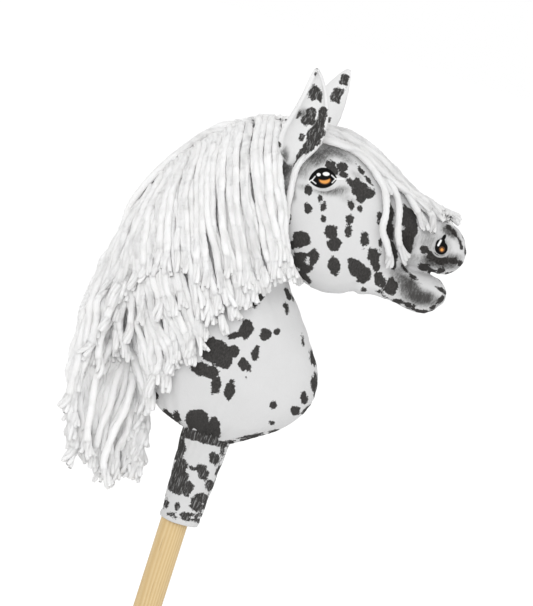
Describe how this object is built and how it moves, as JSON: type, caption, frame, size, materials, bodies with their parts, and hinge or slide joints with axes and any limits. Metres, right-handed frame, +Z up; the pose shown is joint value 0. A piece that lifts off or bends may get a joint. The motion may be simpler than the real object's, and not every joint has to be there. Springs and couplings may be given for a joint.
{
  "type": "hobby horse",
  "caption": "Sewn and stuffed horse's head and neck with a yarn mane and forelock, two cloth ears and a hemmed sleeve, which slides on a round wooden riding stick.",
  "frame": {"origin": "centre of the foot of the stick", "axes": "+Z up along the stick, +X towards the nose, -Y the horse's right side"},
  "size_m": [0.3486, 0.1287, 0.9053],
  "materials": {
    "pine": "sanded, unvarnished, straight grain",
    "plush": "white velvety cloth printed with ragged charcoal spots and grey shading",
    "ear_fur": "short charcoal fur with white patches",
    "lip_cloth": "pale grey velvety cloth",
    "fibre_fill": "loose polyester fibre, out of sight",
    "cotton_tape": "plain woven cotton",
    "yarn": "soft white plied yarn with frayed ends"
  },
  "bodies": {
    "stick": {"stick": "pine"},
    "head": {"forelock_tape": "cotton_tape", "jaw_filling": "fibre_fill", "left_cover": "plush", "left_forelock_long": "yarn", "left_forelock_middle": "yarn", "left_forelock_short": "yarn", "left_mane_lock_01": "yarn", "left_mane_lock_02": "yarn", "left_mane_lock_03": "yarn", "left_mane_lock_04": "yarn", "left_mane_lock_05": "yarn", "left_mane_lock_06": "yarn", "left_mane_lock_07": "yarn", "left_mane_lock_08": "yarn", "left_mane_lock_09": "yarn", "left_mane_lock_10": "yarn", "left_mane_lock_11": "yarn", "left_withers_lock_1": "yarn", "left_withers_lock_2": "yarn", "left_withers_lock_3": "yarn", "left_withers_lock_4": "yarn", "left_withers_lock_5": "yarn", "lower_lip_lining": "lip_cloth", "mane_tape": "cotton_tape", "muzzle_filling": "fibre_fill", "neck_filling": "fibre_fill", "palate_lining": "lip_cloth", "right_cover": "plush", "right_forelock_long": "yarn", "right_forelock_middle": "yarn", "right_forelock_short": "yarn", "right_mane_lock_01": "yarn", "right_mane_lock_02": "yarn", "right_mane_lock_03": "yarn", "right_mane_lock_04": "yarn", "right_mane_lock_05": "yarn", "right_mane_lock_06": "yarn", "right_mane_lock_07": "yarn", "right_mane_lock_08": "yarn", "right_mane_lock_09": "yarn", "right_mane_lock_10": "yarn", "right_mane_lock_11": "yarn", "right_withers_lock_1": "yarn", "right_withers_lock_2": "yarn", "right_withers_lock_3": "yarn", "right_withers_lock_4": "yarn", "right_withers_lock_5": "yarn", "skull_filling": "fibre_fill", "sleeve": "plush", "stick_pocket": "cotton_tape"},
    "right_ear": {"right_ear_lining": "ear_fur", "right_ear_outer": "plush"},
    "left_ear": {"left_ear_lining": "ear_fur", "left_ear_outer": "plush"}
  },
  "joints": [
    {"name": "head_slide", "type": "slide", "parent": "stick", "child": "head", "axis": [0, 0, 1], "range_m": [0, 0.34]},
    {"name": "right_ear_fold", "type": "hinge", "parent": "head", "child": "right_ear", "pos_m": [0.003, -0.03569, 0.798], "axis": [0, 1, 0], "range_deg": [-10, 20], "stiffness_Nm_per_rad": 0.02},
    {"name": "left_ear_fold", "type": "hinge", "parent": "head", "child": "left_ear", "pos_m": [0.003, 0.03335, 0.807], "axis": [0, 1, 0], "range_deg": [-10, 20], "stiffness_Nm_per_rad": 0.02}
  ]
}
